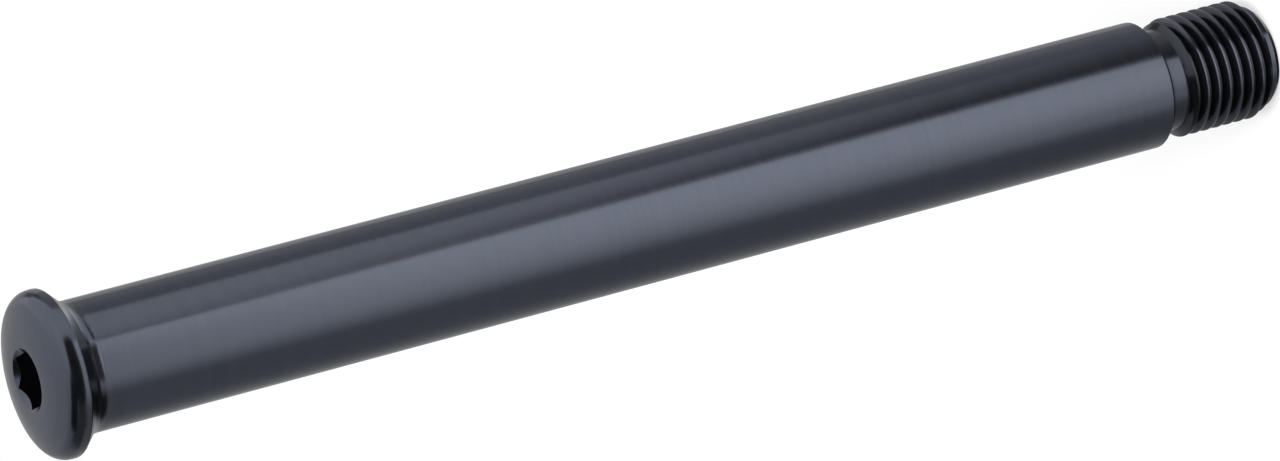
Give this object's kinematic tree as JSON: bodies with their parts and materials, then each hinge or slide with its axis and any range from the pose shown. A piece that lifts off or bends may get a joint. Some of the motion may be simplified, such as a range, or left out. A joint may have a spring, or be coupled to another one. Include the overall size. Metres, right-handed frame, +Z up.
{
  "type": "bicycle thru axle",
  "caption": "Bolt-on bicycle thru axle: a hollow round shaft with a domed head over a conical seat, a hex socket for the key, and a fine right-hand thread behind a relief groove.",
  "frame": {"origin": "centre of the tip's flat end face, on the axis", "axes": "+Z up the axis from the threaded tip to the head; two opposite corners of the hex socket lie along X"},
  "size_m": [0.0192, 0.0192, 0.1588],
  "materials": {
    "black_anodised": "black anodised, satin, with faint lathe marks"
  },
  "bodies": {
    "root": {"axle": "black_anodised"}
  },
  "joints": []
}
